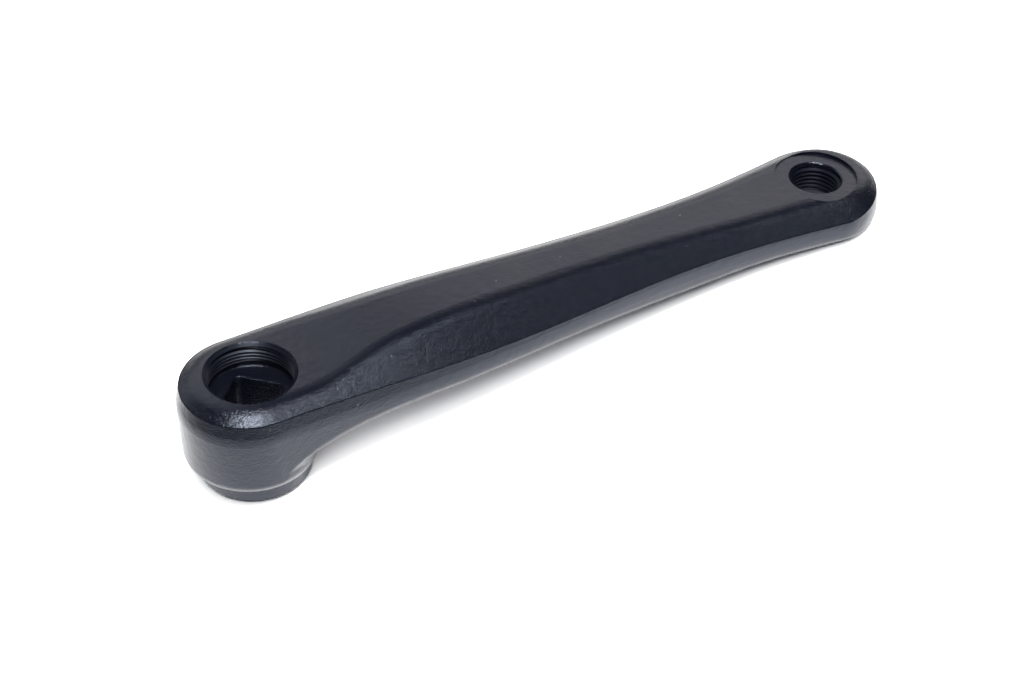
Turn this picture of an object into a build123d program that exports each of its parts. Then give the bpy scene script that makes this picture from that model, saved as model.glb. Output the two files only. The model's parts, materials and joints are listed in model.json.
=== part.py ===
from build123d import *
import os
from math import cos, hypot, radians, sin, tan

# Left-hand forged crank arm for a square taper spindle, in millimetres.
# Origin: on the spindle axis, at the inner face of the boss ring.
# +Z is the spindle axis, away from the frame. +X points from the spindle to the pedal.

# Overall sizes
crank_length = 170.0
boss_height = 29.2

# Plan of the forging along its parting line, as half widths from the centre line.
# The round ends stand a little beyond the spindle axis and the pedal axis.
boss_radius = 17.4
boss_overhang = 0.8
shoulder_x = 44.0
shoulder_swell = 0.6
flank_half_width = 15.55
waist_to_pedal = 43.0
waist_half_width = 13.8
eye_radius = 17.4
eye_overhang = 0.6
eye_flare_angle = 8.0

# Side wall: it leans in above the parting line and, less, below it
parting_drop = 7.0
upper_draft = 12.0
lower_draft = 2.5
parting_round = 10.0

# Depth of the crisp edge line below the boss face, and the slope of the long facets above it
boss_line_drop = 2.6
shoulder_line_drop = 3.5
flank_line_drop = 4.6
waist_line_drop = 4.75
eye_line_drop = 4.7
eye_facet_overhang = 3.0
boss_facet_angle = 32.0
arm_facet_angle = 37.0
crease_round = 7.0
edge_line_round = 0.4

# Side view of the arm: a crown beyond the boss, then a slight fall to the pedal eye
boss_face_reach = 9.0
ramp_x = 26.0
ramp_rise = 2.1
crown_x = 47.0
crown_rise = 3.7
fall_reach = 28.0
fall_rise = 2.6
mid_rise = 0.85
eye_face_drop = 0.4
eye_face_reach = 20.0
underside_flat_x = 46.0
arm_depth_at_boss = 11.5
arm_depth_at_flank = 11.75
arm_depth_at_waist = 12.6
arm_depth_at_eye = 11.8
underside_round = 2.5

# Boss below the arm, the hollow that blends it into the flat underside, and the machined ring
boss_wall_gap = 0.1
boss_foot_height = 3.2
boss_edge_round = 5.0
hollow_pull = 12.5
hollow_rise = 6.0
hollow_foot = 0.8
ring_radius = 14.2
ring_chamfer = 0.4

# Extractor bore, M22 x 1: the wall stands at the major radius of the thread
extractor_radius = 11.0
extractor_thread_length = 6.4
extractor_mouth_chamfer = 0.4
relief_radius = 11.4
relief_length = 1.6

# Square taper socket, two degrees a side, with one diagonal along the arm
socket_width = 12.6
socket_taper = 2.0
socket_corner_radius = 1.6
socket_edge_break = 0.3
socket_mouth_chamfer = 0.8

# Pedal hole, 9/16 inch x 20 left-hand: the wall stands at the major radius of the thread
pedal_radius = 7.14
pedal_chamfer = 0.3
seat_radius = 11.3
seat_depth = 0.8

# Widest part of the arm, and the stations along it
shoulder_half_width = boss_radius + shoulder_swell
waist_x = crank_length - waist_to_pedal
flank_x = (shoulder_x + waist_x) / 2
fall_x = crown_x + fall_reach
eye_face_x = crank_length - eye_face_reach
mid_x = (fall_x + eye_face_x) / 2

# Heights worked out from the sizes above
face = boss_height
parting = face - parting_drop
eye_face = face - eye_face_drop
underside = face - arm_depth_at_boss
eye_underside = face - arm_depth_at_eye
socket_floor = face - extractor_thread_length - relief_length

# Largest rounds that fit on the wall: each takes at most its share of the wall on its side
underside_share = 0.6
parting_share_below = 0.35
parting_share_above = 0.6
wall_below = parting - underside
wall_above = parting_drop - max(flank_line_drop, waist_line_drop, eye_line_drop)
parting_reach = min(parting_share_below * wall_below, parting_share_above * wall_above)
underside_limit = underside_share * wall_below
parting_limit = parting_reach / tan(radians(upper_draft + lower_draft) / 2)

# How far the trimming bodies stand clear of the finished arm, and the facets above its crown
clearance = 20.0
facet_headroom = 0.6
far_end = crank_length + eye_overhang + eye_radius + clearance
far_side = shoulder_half_width + clearance
upper_slope = tan(radians(upper_draft))
lower_slope = tan(radians(lower_draft))
boss_axis = Axis((-boss_overhang, 0, 0), (0, 0, 1))

# Limits used to pick edges and faces
tolerance = 0.01
nearly_level = 0.95
line_band = 1.0


def plan_outline(boss_r, shoulder_w, flank_w, waist_w, eye_r, overhang):
    """Closed outline of the arm seen along the spindle, with arcs round both ends."""
    flare = radians(eye_flare_angle)
    eye_x = crank_length + overhang
    eye_start = (eye_x - eye_r * sin(flare), eye_r * cos(flare))
    with BuildLine() as outline:
        side = Spline(
            (-boss_overhang, boss_r),
            (shoulder_x, shoulder_w),
            (flank_x, flank_w),
            (waist_x, waist_w),
            eye_start,
            tangents=[(1, 0), (cos(flare), sin(flare))],
        )
        ThreePointArc(eye_start, (eye_x + eye_r, 0), (eye_start[0], -eye_start[1]))
        mirror(side, about=Plane.XZ)
        ThreePointArc((-boss_overhang, -boss_r), (-boss_overhang - boss_r, 0), (-boss_overhang, boss_r))
    return outline.edges()


def wall_outline(height):
    """Plan at one height of the side wall, which is widest at the parting line."""
    inset = max((height - parting) * upper_slope, (parting - height) * lower_slope)
    half_widths = (boss_radius, shoulder_half_width, flank_half_width, waist_half_width, eye_radius)
    return plan_outline(*[half_width - inset for half_width in half_widths], eye_overhang)


def facet_outline(height):
    """Plan at one height of the facets that rise from the edge line to the outer face."""
    stations = (
        (boss_radius, boss_line_drop, boss_facet_angle),
        (shoulder_half_width, shoulder_line_drop, arm_facet_angle),
        (flank_half_width, flank_line_drop, arm_facet_angle),
        (waist_half_width, waist_line_drop, arm_facet_angle),
        (eye_radius, eye_line_drop, arm_facet_angle),
    )
    half_widths = []
    for half_width, drop, angle in stations:
        at_edge_line = half_width - (parting_drop - drop) * upper_slope
        half_widths.append(at_edge_line - (height - face + drop) / tan(radians(angle)))
    return plan_outline(*half_widths, eye_facet_overhang)


def rim(faces):
    """Edges that bound a group of faces, without the edges that two of them share."""
    edges = ShapeList([edge for one in faces for edge in one.edges()])
    return ShapeList([edge for edge in edges if sum(edge.is_same(other) for other in edges) == 1])


def turned_about_boss(edge):
    """True for a circle or arc whose centre lies on the axis of the boss wall."""
    if edge.geom_type != GeomType.CIRCLE:
        return False
    return hypot(edge.arc_center.X + boss_overhang, edge.arc_center.Y) < tolerance


def on_edge_line(edge):
    """True for a long edge at the level of the crisp line between a facet and the side wall."""
    highest = face - boss_line_drop + line_band
    lowest = face - max(waist_line_drop, eye_line_drop) - line_band
    return lowest < edge.center().Z < highest and edge.length > boss_radius


def on_parting_line(edge):
    """True for an edge that lies level at the height of the parting line."""
    level = edge.bounding_box().size.Z < tolerance
    return level and abs(edge.center().Z - parting) < tolerance


# Side wall, seen along the spindle
with BuildPart() as wall_body:
    for level in (-clearance, parting, face + clearance):
        with BuildSketch(Plane.XY.offset(level)):
            make_face(wall_outline(level))
    loft(ruled=True)

# Roof of the two long facets, wide below and narrow just above the crown
with BuildPart() as facet_body:
    for level in (-clearance, face + crown_rise + facet_headroom):
        with BuildSketch(Plane.XY.offset(level)):
            make_face(facet_outline(level))
    loft(ruled=True)

with BuildPart() as crank_arm:
    # Side view of the arm, carried past both sides
    with BuildSketch(Plane.XZ.offset(-far_side)):
        with BuildLine():
            top = Spline(
                (boss_face_reach, face),
                (ramp_x, face + ramp_rise),
                (crown_x, face + crown_rise),
                (fall_x, face + fall_rise),
                (mid_x, face + mid_rise),
                (eye_face_x, eye_face),
                tangents=[(1, 0), (1, 0)],
            )
            bottom = Spline(
                (eye_face_x, eye_underside),
                (waist_x, face - arm_depth_at_waist),
                (flank_x, face - arm_depth_at_flank),
                (underside_flat_x, underside),
                tangents=[(-1, 0), (-1, 0)],
            )
            Polyline(top @ 1, (far_end, eye_face), (far_end, eye_underside), bottom @ 0)
            Polyline(bottom @ 1, (-far_side, underside), (-far_side, face), top @ 0)
        make_face()
    extrude(amount=2 * far_side)

    # Boss below the arm and the hollow that blends them, a shade outside the wall that trims them
    with BuildSketch(Plane.XZ):
        with BuildLine():
            edge_height = boss_foot_height + boss_edge_round
            foot_height = edge_height + hollow_foot
            inside_arm = (underside + parting) / 2
            wall_at_edge = boss_radius - boss_overhang + boss_wall_gap - (parting - edge_height) * lower_slope
            wall_at_foot = wall_at_edge + hollow_foot * lower_slope
            Polyline(
                (wall_at_edge - boss_edge_round, boss_foot_height),
                (-boss_overhang, boss_foot_height),
                (-boss_overhang, inside_arm),
                (underside_flat_x, inside_arm),
                (underside_flat_x, underside),
            )
            Bezier(
                (underside_flat_x, underside),
                (wall_at_foot + hollow_pull, underside),
                (wall_at_foot + hollow_rise * lower_slope, foot_height + hollow_rise),
                (wall_at_foot, foot_height),
            )
            Line((wall_at_foot, foot_height), (wall_at_edge, edge_height))
            TangentArc(
                (wall_at_edge, edge_height),
                (wall_at_edge - boss_edge_round, boss_foot_height),
                tangent=(-lower_slope, -1),
            )
        make_face()
    revolve(axis=boss_axis)

    # Machined ring, turned about the spindle axis and sunk into the edge round of the boss
    Cylinder(ring_radius, edge_height, align=(Align.CENTER, Align.CENTER, Align.MIN))
    chamfer(crank_arm.edges().group_by(Axis.Z)[0], length=ring_chamfer)

    # Trim to the forged outline and facets
    add(wall_body.part, mode=Mode.INTERSECT)
    add(facet_body.part, mode=Mode.INTERSECT)

    # Soft creases beside the outer face
    outer_faces = crank_arm.faces().filter_by(
        lambda one: one.normal_at().Z > nearly_level and one.center().Z > underside
    )
    fillet(rim(outer_faces), radius=crease_round)

    # Rounded edges under the arm, all round the underside and the hollow
    under_faces = crank_arm.faces().filter_by(
        lambda one: one.normal_at().Z < -nearly_level and one.center().Z > edge_height
    )
    hollow = crank_arm.faces().filter_by(GeomType.REVOLUTION)
    under_rim = rim(under_faces + hollow).filter_by(lambda edge: not turned_about_boss(edge))
    fillet(under_rim, radius=min(underside_round, underside_limit))

    # Crisp edge line, and the full round of the wall at the parting line
    fillet(crank_arm.edges().filter_by(on_edge_line), radius=edge_line_round)
    parting_line = crank_arm.edges().filter_by(on_parting_line)
    fillet(parting_line, radius=min(parting_round, parting_limit))

    # Extractor bore and the relief at the foot of its thread, turned as one profile.
    # The mouth chamfer runs on past the boss face, so it also clears the rise beside it.
    with BuildSketch(Plane.XZ):
        with BuildLine():
            thread_end = face - extractor_thread_length
            mouth_radius = extractor_radius + extractor_mouth_chamfer
            Polyline(
                (0, socket_floor),
                (relief_radius, socket_floor),
                (relief_radius, thread_end),
                (extractor_radius, thread_end),
                (extractor_radius, face - extractor_mouth_chamfer),
                (mouth_radius + crown_rise, face + crown_rise),
                (0, face + crown_rise),
                (0, socket_floor),
            )
        make_face()
    revolve(axis=Axis.Z, mode=Mode.SUBTRACT)

    # Square taper socket, wider at the inner face
    for level in (socket_floor, -clearance):
        with BuildSketch(Plane.XY.offset(level)):
            width = socket_width + 2 * (socket_floor - level) * tan(radians(socket_taper))
            RectangleRounded(width, width, socket_corner_radius, rotation=45)
    loft(ruled=True, mode=Mode.SUBTRACT)
    socket_edges = crank_arm.edges().filter_by(
        lambda edge: hypot(edge.center().X, edge.center().Y) < socket_width
        and edge.center().Z < socket_floor + tolerance
        and edge.bounding_box().size.Z < tolerance
    )
    chamfer(socket_edges.group_by(Axis.Z)[-1], length=socket_edge_break)
    chamfer(socket_edges.group_by(Axis.Z)[0], length=socket_mouth_chamfer)

    # Pedal hole, with a shallow turned seat for the pedal washer
    with Locations((crank_length, 0, eye_face)):
        CounterBoreHole(pedal_radius, seat_radius, seat_depth)
    pedal_rims = crank_arm.edges().filter_by(
        lambda edge: edge.geom_type == GeomType.CIRCLE and abs(edge.radius - pedal_radius) < tolerance
    )
    chamfer(pedal_rims, length=pedal_chamfer)

crank_arm.part.label = "crank_arm"

os.makedirs("parts", exist_ok=True)
export_step(crank_arm.part, "parts/crank_arm.step")
box = crank_arm.part.bounding_box()
print("volume", round(crank_arm.part.volume), "box", box.min, box.max, crank_arm.part.is_valid)
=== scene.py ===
"""Finish, threads and studio of a left-hand square taper crank arm."""

import json
import math

import bpy
from mathutils import Matrix, Vector


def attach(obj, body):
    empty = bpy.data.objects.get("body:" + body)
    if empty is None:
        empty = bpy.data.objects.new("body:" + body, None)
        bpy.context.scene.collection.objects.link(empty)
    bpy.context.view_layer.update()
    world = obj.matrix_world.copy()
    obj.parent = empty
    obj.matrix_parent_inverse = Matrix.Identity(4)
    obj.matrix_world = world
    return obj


bl_info = {
    "name": "Crank Arm",
    "version": (1, 0, 0),
    "blender": (4, 5, 0),
    "location": "View3D > Sidebar > Crank Arm",
    "description": "Paints a crank arm, cuts its two threads and sets it on a table in a soft studio",
    "category": "Add Mesh",
}

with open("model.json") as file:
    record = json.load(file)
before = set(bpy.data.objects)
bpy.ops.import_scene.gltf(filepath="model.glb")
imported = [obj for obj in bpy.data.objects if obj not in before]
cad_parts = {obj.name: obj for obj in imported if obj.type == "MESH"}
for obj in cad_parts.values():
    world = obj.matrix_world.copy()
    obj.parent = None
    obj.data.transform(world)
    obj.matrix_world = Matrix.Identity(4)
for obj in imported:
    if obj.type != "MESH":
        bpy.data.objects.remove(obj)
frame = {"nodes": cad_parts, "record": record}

MM = 0.001
ARM = "crank_arm"
BODY = "root"
MOUNTS = {mount["name"]: mount for mount in frame["record"]["mounts"]}
DUST_COLOR = (0.22, 0.21, 0.19, 1.0)
# The coating reflects a little more blue than red
COATING_TINT = (0.77, 0.84, 1.0, 1.0)
# Specular levels of the coating on the arm and, where it is thinner, on the two threads
COATING_SHINE = 0.5
EXTRACTOR_SHINE = 0.35
PEDAL_SHINE = 0.12
# How far an added piece reaches into the wall that it stands on
SUNK = 0.03 * MM
WHITE = (1.0, 1.0, 1.0)
# Each light's name, azimuth and elevation in degrees, distance and size in metres, brightness and colour
LIGHTS = (
    ("window", 140.0, 30.0, 1.3, (1.7, 0.8), 1.03, (1.0, 0.94, 0.95)),
    ("ceiling_lamp", -28.0, 69.5, 1.2, (0.42, 0.14), 48.0, WHITE),
    ("front_lamp", -33.0, 50.0, 1.2, (0.5, 0.12), 14.0, WHITE),
    ("right_lamp", 46.0, 64.0, 1.2, (0.24, 0.12), 9.0, WHITE),
    ("far_card", 52.0, 45.0, 1.4, (0.4, 0.3), 0.4, WHITE),
    ("left_card", -160.0, 42.0, 1.2, (0.75, 1.3), 0.85, WHITE),
)
FILL_LIGHT = ("front_fill", -33.0, 60.0, 1.3, (1.4, 0.5), 1.8, WHITE)
LIGHTS_AIM = Vector((85.0 * MM, 0, 20.0 * MM))
# Power of a square metre of lamp that shows as white
WATTS_FOR_WHITE = 4.0
ROOM_COLOR = (0.9, 0.95, 1.0, 1.0)
ROOM_BRIGHTNESS = 0.06
TABLE_WIDTH = 6.0
SENSOR_WIDTH_MM = 36.0


class ThreadProperties(bpy.types.PropertyGroup):
    """Sizes of the two threads, which start from the plain walls of the two bores."""

    extractor_pitch: bpy.props.FloatProperty(
        name="Extractor pitch",
        description="Distance from one crest to the next in the bore of the boss",
        default=1.0 * MM,
        unit="LENGTH",
    )
    extractor_depth: bpy.props.FloatProperty(
        name="Extractor depth",
        description="How far the crests stand in from the wall of the bore of the boss",
        default=0.54 * MM,
        unit="LENGTH",
    )
    extractor_lead_in: bpy.props.FloatProperty(
        name="Extractor lead-in",
        description="Plain wall between the mouth of the bore and the first crest",
        default=0.8 * MM,
        unit="LENGTH",
    )
    pedal_pitch: bpy.props.FloatProperty(
        name="Pedal pitch",
        description="Distance from one crest to the next in the pedal hole, 20 to the inch",
        default=1.27 * MM,
        unit="LENGTH",
    )
    pedal_depth: bpy.props.FloatProperty(
        name="Pedal depth",
        description="How far the crests stand in from the wall of the pedal hole",
        default=0.68 * MM,
        unit="LENGTH",
    )
    pedal_lead_in: bpy.props.FloatProperty(
        name="Pedal lead-in",
        description="Plain wall between the seat and the first crest of the pedal hole",
        default=0.2 * MM,
        unit="LENGTH",
    )


class FinishProperties(bpy.types.PropertyGroup):
    """The black satin coating."""

    paint_color: bpy.props.FloatVectorProperty(
        name="Paint",
        description="Colour of the coating",
        default=(0.0045, 0.006, 0.0115),
        subtype="COLOR",
        size=3,
        min=0.0,
        max=1.0,
    )
    handled_color: bpy.props.FloatVectorProperty(
        name="Handled paint",
        description="Colour of the slightly greyer patches that handling leaves",
        default=(0.0085, 0.0095, 0.0135),
        subtype="COLOR",
        size=3,
        min=0.0,
        max=1.0,
    )
    roughness: bpy.props.FloatProperty(
        name="Roughness",
        description="Roughness of the coating away from the handled patches",
        default=0.2,
        min=0.0,
        max=1.0,
    )
    thread_roughness: bpy.props.FloatProperty(
        name="Thread roughness",
        description="Roughness of the thin coating on the cut threads",
        default=0.38,
        min=0.0,
        max=1.0,
    )
    grain_size: bpy.props.FloatProperty(
        name="Grain size",
        description="Width of one grain of the blasted surface under the coating",
        default=0.42 * MM,
        unit="LENGTH",
    )
    grain_height: bpy.props.FloatProperty(
        name="Grain height",
        description="Height of one grain of the blasted surface under the coating",
        default=0.17 * MM,
        unit="LENGTH",
    )
    dust_size: bpy.props.FloatProperty(
        name="Dust size",
        description="Radius of the few specks of dust on the coating",
        default=0.13 * MM,
        unit="LENGTH",
    )
    dust_spacing: bpy.props.FloatProperty(
        name="Dust spacing",
        description="Distance between the places where a speck can lie, most of which are off the surface",
        default=5.0 * MM,
        unit="LENGTH",
    )


class StudioProperties(bpy.types.PropertyGroup):
    """Table and camera."""

    floor_color: bpy.props.FloatVectorProperty(
        name="Table",
        description="Colour of the table",
        default=(0.86, 0.86, 0.87),
        subtype="COLOR",
        size=3,
        min=0.0,
        max=1.0,
    )
    floor_white: bpy.props.FloatProperty(
        name="Table seen",
        description="Brightness of the table for the camera and through glass, which keeps it white",
        default=2.4,
        min=0.0,
        max=3.0,
    )
    # Painted light in the table's colour as the coating reflects it: raised beside the arm, lowered in
    # front of it and behind it
    painted_light_near: bpy.props.FloatProperty(
        name="Near table",
        description="Brightness of the table beside the arm, as the arm's coating reflects it",
        default=2.1,
        min=0.0,
        max=3.0,
    )
    painted_light_far: bpy.props.FloatProperty(
        name="Far table",
        description="Brightness of the table in front of the arm, away from the window, in reflections",
        default=0.2,
        min=0.0,
        max=3.0,
    )
    painted_light_behind: bpy.props.FloatProperty(
        name="Table behind",
        description="Brightness of the table behind the arm, in reflections",
        default=0.75,
        min=0.0,
        max=3.0,
    )
    camera_place: bpy.props.FloatVectorProperty(
        name="Camera place",
        description="Where the camera stands, from the inner end of the spindle axis",
        default=(-138.2 * MM, -323.4 * MM, 339.5 * MM),
        subtype="TRANSLATION",
        size=3,
    )
    camera_azimuth: bpy.props.FloatProperty(
        name="Camera azimuth",
        description="Turn of the camera about the spindle axis, from the long side of the arm",
        default=math.radians(-33.23),
        subtype="ANGLE",
    )
    camera_elevation: bpy.props.FloatProperty(
        name="Camera elevation",
        description="How steeply the camera looks down the spindle axis",
        default=math.radians(40.57),
        subtype="ANGLE",
    )
    camera_roll: bpy.props.FloatProperty(
        name="Camera roll",
        description="Turn of the camera about its own line of sight",
        default=math.radians(3.03),
        subtype="ANGLE",
    )
    camera_lens: bpy.props.FloatProperty(
        name="Lens",
        description="Focal length on a sensor 36 mm wide, in millimetres",
        default=68.92,
        min=1.0,
    )


def deselect_all():
    """Leave nothing selected and nothing active, so that an operator acts on one piece only."""
    bpy.ops.object.select_all(action="DESELECT")
    bpy.context.view_layer.objects.active = None


def swept_section(name, section, turns, rise, centre):
    """Mesh swept by a section of (radius, height) points that turns and rises about an upright axis."""
    steps_a_turn = 96
    crease_angle = math.radians(25)
    deselect_all()
    bpy.ops.mesh.primitive_circle_add(vertices=len(section), radius=1.0 * MM)
    piece = bpy.context.object
    piece.name = name
    piece.data.name = name
    # The circle's points become the corners of the section
    for vertex, (radius, height) in zip(piece.data.vertices, section):
        vertex.co = (radius, 0, height)
    screw = piece.modifiers.new("sweep", "SCREW")
    screw.axis = "Z"
    screw.angle = turns * math.tau
    screw.screw_offset = rise
    screw.steps = round(abs(turns) * steps_a_turn)
    screw.render_steps = screw.steps
    screw.use_merge_vertices = rise == 0
    bpy.ops.object.modifier_apply(modifier="sweep")
    bpy.ops.object.mode_set(mode="EDIT")
    bpy.ops.mesh.select_all(action="SELECT")
    bpy.ops.mesh.fill_holes(sides=len(section))
    bpy.ops.mesh.select_all(action="SELECT")
    bpy.ops.transform.translate(value=(centre.x, centre.y, 0))
    bpy.ops.mesh.normals_make_consistent(inside=False)
    bpy.ops.object.mode_set(mode="OBJECT")
    bpy.ops.object.shade_smooth_by_angle(angle=crease_angle)
    return piece


def bore(name):
    """Mouth, wall radius and length of a threaded bore."""
    mount = MOUNTS[name]
    return Vector(mount["pos_m"]), mount["dims"]["r_mm"] * MM, mount["dims"]["length_mm"] * MM


def thread_ridge(name, mouth, wall_radius, length, pitch, depth, lead_in, left_hand):
    """Helical ridge that stands in from the wall of a bore and fades into it at both ends."""
    # Widths of the ridge at the wall and at its crest, as shares of the pitch
    root_share = 0.86
    crest_share = 0.14
    fade_turns = 0.3
    root = root_share * pitch / 2
    crest = crest_share * pitch / 2
    lowest = mouth.z - length + root
    highest = mouth.z - lead_in - root
    turns = (highest - lowest) / pitch
    section = (
        (wall_radius + SUNK, lowest - root),
        (wall_radius - depth, lowest - crest),
        (wall_radius - depth, lowest + crest),
        (wall_radius + SUNK, lowest + root),
    )
    ridge = swept_section(name, section, -turns if left_hand else turns, turns * pitch, mouth)
    # Both ends sink into the wall, as a thread runs out
    axis = Vector((mouth.x, mouth.y))
    count = len(ridge.data.vertices) // len(section)
    for vertex in ridge.data.vertices:
        along = (vertex.index // len(section)) * turns / (count - 1)
        sink = 1 - min(1.0, along / fade_turns, (turns - along) / fade_turns)
        out = vertex.co.xy - axis
        vertex.co.xy = axis + out * (1 + sink * (wall_radius + SUNK - out.length) / out.length)
    return ridge


def lead_in_cone(name, mouth, wall_radius, depth):
    """Ring that carries the chamfer of a bore's mouth on, down to the crests of its thread."""
    # Heights below the mouth, in depths of the thread
    land_end = 1.2
    cone_end = 2.0
    section = (
        (wall_radius + SUNK, mouth.z + SUNK),
        (wall_radius - depth, mouth.z - depth),
        (wall_radius - depth, mouth.z - land_end * depth),
        (wall_radius + SUNK, mouth.z - cone_end * depth),
    )
    return swept_section(name, section, turns=1, rise=0, centre=mouth)


def add_node(tree, kind, **inputs):
    """New shader node with its named inputs set to values or linked to other nodes' outputs."""
    node = tree.nodes.new(kind)
    for key, value in inputs.items():
        socket = node.inputs[key.replace("_", " ")]
        if isinstance(value, bpy.types.NodeSocket):
            tree.links.new(value, socket)
        else:
            socket.default_value = value
    return node


def add_math(tree, operation, *values):
    """Result of a math node whose values are numbers or other nodes' outputs."""
    node = tree.nodes.new("ShaderNodeMath")
    node.operation = operation
    for socket, value in zip(node.inputs, values):
        if isinstance(value, bpy.types.NodeSocket):
            tree.links.new(value, socket)
        else:
            socket.default_value = value
    return node.outputs["Value"]


def square(tree, value):
    """The square of a node's output."""
    return add_math(tree, "MULTIPLY", value, value)


def add_map(tree, value, reach, result=(0.0, 1.0)):
    """A node's output carried over from its reach to the result's, and held at both ends."""
    node = add_node(
        tree,
        "ShaderNodeMapRange",
        Value=value,
        From_Min=reach[0],
        From_Max=reach[1],
        To_Min=result[0],
        To_Max=result[1],
    )
    return node.outputs["Result"]


def add_noise(tree, place, scale, detail=2.0, roughness=0.5):
    """Soft noise with so many lumps to the metre."""
    node = add_node(
        tree, "ShaderNodeTexNoise", Vector=place, Scale=scale, Detail=detail, Roughness=roughness
    )
    return node.outputs["Fac"]


def add_bump(tree, height, distance, strength, **under):
    """Normal of a surface that a height roughens, over another bump's where Normal is given."""
    node = add_node(
        tree, "ShaderNodeBump", Height=height, Distance=distance, Strength=strength, **under
    )
    return node.outputs["Normal"]


def mixed_color(tree, factor, first, second):
    """Output of a colour mix node between two colours, each a constant or another node's output."""
    mix = tree.nodes.new("ShaderNodeMix")
    mix.data_type = "RGBA"
    tree.links.new(factor, mix.inputs["Factor"])
    for key, color in (("A", first), ("B", second)):
        if isinstance(color, bpy.types.NodeSocket):
            tree.links.new(color, mix.inputs[key])
        else:
            mix.inputs[key].default_value = color
    return mix.outputs["Result"]


def blank_material(name):
    """New node material, its tree and the shader in it."""
    material = bpy.data.materials.new(name)
    material.use_nodes = True
    tree = material.node_tree
    return material, tree, tree.nodes["Principled BSDF"]


def paint_material(finish):
    """Black satin coating over blasted, forged aluminium."""
    patches_a_metre = 45.0
    # Levels of the noise between which a handled patch gets its colour and its smoothness
    color_levels = (0.5, 0.68)
    smooth_levels = (0.3, 0.7)
    # How much rougher the coating is away from a patch, and how much smoother in one
    dulled = 0.03
    polished = 0.05
    # The coating's own unevenness is five grains wide
    swell_share = 0.2
    swell_strength = 0.5
    grain_strength = 0.6
    material, tree, shader = blank_material("black_satin_coating")
    place = tree.nodes.new("ShaderNodeTexCoord").outputs["Object"]
    # Handling leaves broad soft patches, a little greyer and smoother than the rest
    patches = add_noise(tree, place, patches_a_metre, detail=3.0, roughness=0.55)
    handled = add_map(tree, patches, color_levels)
    color = mixed_color(tree, handled, (*finish.paint_color, 1.0), (*finish.handled_color, 1.0))
    # A speck of dust lies where the middle of a cell meets the surface
    cells = add_node(tree, "ShaderNodeTexVoronoi", Vector=place, Scale=1.0 / finish.dust_spacing)
    speck = add_math(tree, "LESS_THAN", cells.outputs["Distance"], finish.dust_size / finish.dust_spacing)
    color = mixed_color(tree, speck, color, DUST_COLOR)
    tree.links.new(color, shader.inputs["Base Color"])
    dullest = finish.roughness + dulled
    smoothest = finish.roughness - polished
    roughness = add_map(tree, patches, smooth_levels, (dullest, smoothest))
    tree.links.new(roughness, shader.inputs["Roughness"])
    # Fine grain of the blasted metal, and a softer unevenness of the coating over it
    grain = add_noise(tree, place, 1.0 / finish.grain_size)
    swell = add_noise(tree, place, swell_share / finish.grain_size)
    normal = add_bump(tree, swell, finish.grain_height, swell_strength)
    normal = add_bump(tree, grain, finish.grain_height, grain_strength, Normal=normal)
    tree.links.new(normal, shader.inputs["Normal"])
    shader.inputs["Specular IOR Level"].default_value = COATING_SHINE
    shader.inputs["Specular Tint"].default_value = COATING_TINT
    return material


def thread_material(name, finish, shine):
    """The same coating, thinner on a cut thread, with more or less shine."""
    marks_a_metre = 900.0
    mark_height = 0.08 * MM
    mark_strength = 0.5
    roughness_range = 0.08
    material, tree, shader = blank_material(name)
    place = tree.nodes.new("ShaderNodeTexCoord").outputs["Object"]
    marks = add_noise(tree, place, marks_a_metre)
    shader.inputs["Base Color"].default_value = (*finish.paint_color, 1.0)
    smoothest = finish.thread_roughness - roughness_range
    dullest = finish.thread_roughness + roughness_range
    roughness = add_map(tree, marks, (0.0, 1.0), (smoothest, dullest))
    tree.links.new(roughness, shader.inputs["Roughness"])
    normal = add_bump(tree, marks, mark_height, mark_strength)
    tree.links.new(normal, shader.inputs["Normal"])
    shader.inputs["Specular IOR Level"].default_value = shine
    shader.inputs["Specular Tint"].default_value = COATING_TINT
    return material


def table_material(studio):
    """Pale table, white to the camera, with the arm's soft shadow on it; in reflections its colour is
    painted light, brighter beside the arm and dimmer away from it.
    """
    # Distances in front of the arm's long axis, and to the left of its foot, over which the table's
    # painted light dims in reflections
    painted_light_fade = (15.0 * MM, 115.0 * MM)
    # Distances behind that axis over which it dims there, and how fast they grow left of the foot
    painted_light_fade_behind = (-20.0 * MM, 10.0 * MM)
    swing_back = 2.0
    material, tree, shader = blank_material("pale_table")
    path = tree.nodes.new("ShaderNodeLightPath")
    place = tree.nodes.new("ShaderNodeTexCoord").outputs["Object"]
    axes = add_node(tree, "ShaderNodeSeparateXYZ", Vector=place)
    left = add_math(tree, "MINIMUM", axes.outputs["X"], 0.0)
    front = add_math(tree, "MINIMUM", axes.outputs["Y"], 0.0)
    away = add_math(tree, "SQRT", add_math(tree, "ADD", square(tree, left), square(tree, front)))
    # Painted light and shade for reflections: the table's colour is raised beside the arm and lowered in
    # front of and behind it
    ahead = add_map(tree, away, painted_light_fade, (studio.painted_light_near, studio.painted_light_far))
    beyond = add_math(tree, "ADD", axes.outputs["Y"], add_math(tree, "MULTIPLY", left, swing_back))
    behind = add_map(tree, beyond, painted_light_fade_behind, (studio.painted_light_near, studio.painted_light_behind))
    painted_reflected_light = add_math(tree, "MINIMUM", ahead, behind)
    # Only glossy rays see this painted light; other rays see the table's own colour
    coated = mixed_color(tree, path.outputs["Is Glossy Ray"], (*studio.floor_color, 1.0), painted_reflected_light)
    white = (studio.floor_white, studio.floor_white, studio.floor_white, 1.0)
    seen = add_math(tree, "MAXIMUM", path.outputs["Is Camera Ray"], path.outputs["Is Transmission Ray"])
    color = mixed_color(tree, seen, coated, white)
    matt = add_node(tree, "ShaderNodeBsdfDiffuse", Color=color)
    tree.links.new(matt.outputs["BSDF"], tree.nodes["Material Output"].inputs["Surface"])
    tree.nodes.remove(shader)
    return material


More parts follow.
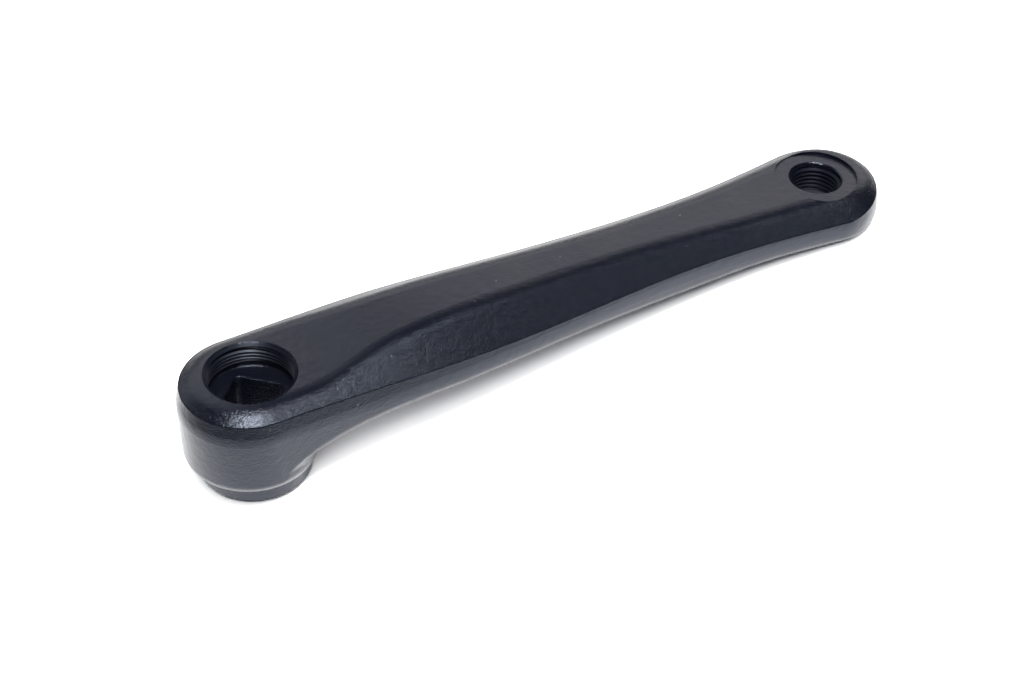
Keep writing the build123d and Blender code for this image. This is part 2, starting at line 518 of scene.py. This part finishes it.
def table_line(arm):
    """Lowest point of the boss and slope of the table, for the arm lying on its ring and its eye."""
    points = [(vertex.co.x, vertex.co.z) for vertex in arm.data.vertices]
    middle = sum(x for x, z in points) / len(points)
    foot = min(points, key=lambda point: point[1])
    slope = 0.0
    # The foot depends on the slope and the slope on the foot, and both settle in a few rounds
    rounds = 4
    for _ in range(rounds):
        ahead = [point for point in points if point[0] > middle]
        slope = min((z - foot[1]) / (x - foot[0]) for x, z in ahead)
        foot = min(points, key=lambda point: point[1] - slope * point[0])
    return foot, slope


class CRANK_OT_paint_arm(bpy.types.Operator):
    """Coat the forged arm in black satin"""

    bl_idname = "crank.paint_arm"
    bl_label = "Paint arm"

    def execute(self, context):
        arm = frame["nodes"][ARM]
        arm.data.materials.clear()
        arm.data.materials.append(paint_material(context.scene.crank_finish))
        return {"FINISHED"}


class CRANK_OT_cut_threads(bpy.types.Operator):
    """Add the ridges of the extractor thread, its lead-in, and the ridges of the left-hand pedal thread"""

    bl_idname = "crank.cut_threads"
    bl_label = "Cut threads"

    def execute(self, context):
        sizes = context.scene.crank_threads
        finish = context.scene.crank_finish
        bright = thread_material("coated_extractor_thread", finish, EXTRACTOR_SHINE)
        dull = thread_material("coated_pedal_thread", finish, PEDAL_SHINE)
        ridge = thread_ridge(
            "extractor_thread",
            *bore("extractor_thread"),
            sizes.extractor_pitch,
            sizes.extractor_depth,
            sizes.extractor_lead_in,
            left_hand=False,
        )
        self.finish_piece(ridge, bright)
        ridge = thread_ridge(
            "pedal_thread",
            *bore("pedal_thread"),
            sizes.pedal_pitch,
            sizes.pedal_depth,
            sizes.pedal_lead_in,
            left_hand=True,
        )
        self.finish_piece(ridge, dull)
        mouth, wall_radius, _ = bore("extractor_thread")
        cone = lead_in_cone("extractor_lead_in", mouth, wall_radius, sizes.extractor_depth)
        self.finish_piece(cone, bright)
        return {"FINISHED"}

    def finish_piece(self, piece, material):
        """Coat a piece and let it ride on the arm's body."""
        piece.data.materials.append(material)
        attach(piece, BODY)


class CRANK_OT_set_studio(bpy.types.Operator):
    """Lay a pale table under the arm, and place the lights and the camera"""

    bl_idname = "crank.set_studio"
    bl_label = "Set studio"

    def execute(self, context):
        studio = context.scene.crank_studio
        add_table(studio)
        add_lights(context.scene)
        add_camera(context.scene, studio)
        context.scene.view_settings.view_transform = "Standard"
        return {"FINISHED"}


def add_table(studio):
    """Table that the ring and the eye of the arm rest on."""
    foot, slope = table_line(frame["nodes"][ARM])
    deselect_all()
    bpy.ops.mesh.primitive_plane_add(
        size=TABLE_WIDTH, location=(foot[0], 0, foot[1]), rotation=(0, -math.atan(slope), 0)
    )
    table = bpy.context.object
    table.name = "table"
    table.data.materials.append(table_material(studio))


def add_area_light(name, azimuth, elevation, distance, size, brightness, color):
    """Soft light of one brightness, seen from the arm at an azimuth and an elevation in degrees."""
    turn = math.radians(azimuth)
    rise = math.radians(elevation)
    away = Vector((math.sin(turn) * math.cos(rise), -math.cos(turn) * math.cos(rise), math.sin(rise)))
    deselect_all()
    bpy.ops.object.light_add(type="AREA", location=LIGHTS_AIM + away * distance)
    light = bpy.context.object
    light.name = name
    light.data.shape = "RECTANGLE"
    light.data.size = size[0]
    light.data.size_y = size[1]
    light.data.energy = brightness * WATTS_FOR_WHITE * size[0] * size[1]
    light.data.color = color
    light.visible_camera = False
    light.rotation_euler = away.to_track_quat("Z", "Y").to_euler()
    return light


def add_lights(scene):
    """Window, lamps and cards that the coating reflects, a fill light for the table, and a dim room."""
    for light in LIGHTS:
        add_area_light(*light)
    # The fill softens the arm's shadow, and the coating doesn't show it
    fill = add_area_light(*FILL_LIGHT)
    fill.visible_glossy = False
    world = bpy.data.worlds.new("studio")
    scene.world = world
    world.use_nodes = True
    background = world.node_tree.nodes["Background"]
    background.inputs["Color"].default_value = ROOM_COLOR
    background.inputs["Strength"].default_value = ROOM_BRIGHTNESS


def add_camera(scene, studio):
    """Camera at the photograph's viewing angle."""
    deselect_all()
    bpy.ops.object.camera_add()
    camera = bpy.context.object
    camera.name = "camera"
    camera.data.lens = studio.camera_lens
    camera.data.sensor_width = SENSOR_WIDTH_MM
    turn = Matrix.Rotation(studio.camera_azimuth, 4, "Z")
    tilt = Matrix.Rotation(math.pi / 2 - studio.camera_elevation, 4, "X")
    roll = Matrix.Rotation(studio.camera_roll, 4, "Z")
    camera.matrix_world = Matrix.Translation(studio.camera_place) @ turn @ tilt @ roll
    scene.camera = camera


class CRANK_PT_panel(bpy.types.Panel):
    """Steps and sizes of the crank arm"""

    bl_idname = "CRANK_PT_panel"
    bl_label = "Crank Arm"
    bl_space_type = "VIEW_3D"
    bl_region_type = "UI"
    bl_category = "Crank Arm"

    def draw(self, context):
        layout = self.layout
        for operator in OPERATORS:
            layout.operator(operator.bl_idname)
        for group in (context.scene.crank_threads, context.scene.crank_finish, context.scene.crank_studio):
            box = layout.box()
            for key in group.bl_rna.properties.keys():
                if key not in ("rna_type", "name"):
                    box.prop(group, key)


OPERATORS = (CRANK_OT_paint_arm, CRANK_OT_cut_threads, CRANK_OT_set_studio)
CLASSES = (ThreadProperties, FinishProperties, StudioProperties, *OPERATORS, CRANK_PT_panel)


def register():
    """Make the operators, the panel and the properties known to Blender."""
    for one in CLASSES:
        bpy.utils.register_class(one)
    bpy.types.Scene.crank_threads = bpy.props.PointerProperty(type=ThreadProperties)
    bpy.types.Scene.crank_finish = bpy.props.PointerProperty(type=FinishProperties)
    bpy.types.Scene.crank_studio = bpy.props.PointerProperty(type=StudioProperties)


def unregister():
    """Take the properties, the panel and the operators out again."""
    del bpy.types.Scene.crank_studio
    del bpy.types.Scene.crank_finish
    del bpy.types.Scene.crank_threads
    for one in reversed(CLASSES):
        bpy.utils.unregister_class(one)


def main():
    """Dress the arm and light it."""
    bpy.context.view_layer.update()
    register()
    bpy.ops.crank.paint_arm()
    bpy.ops.crank.cut_threads()
    bpy.ops.crank.set_studio()


if __name__ == "__main__":
    main()
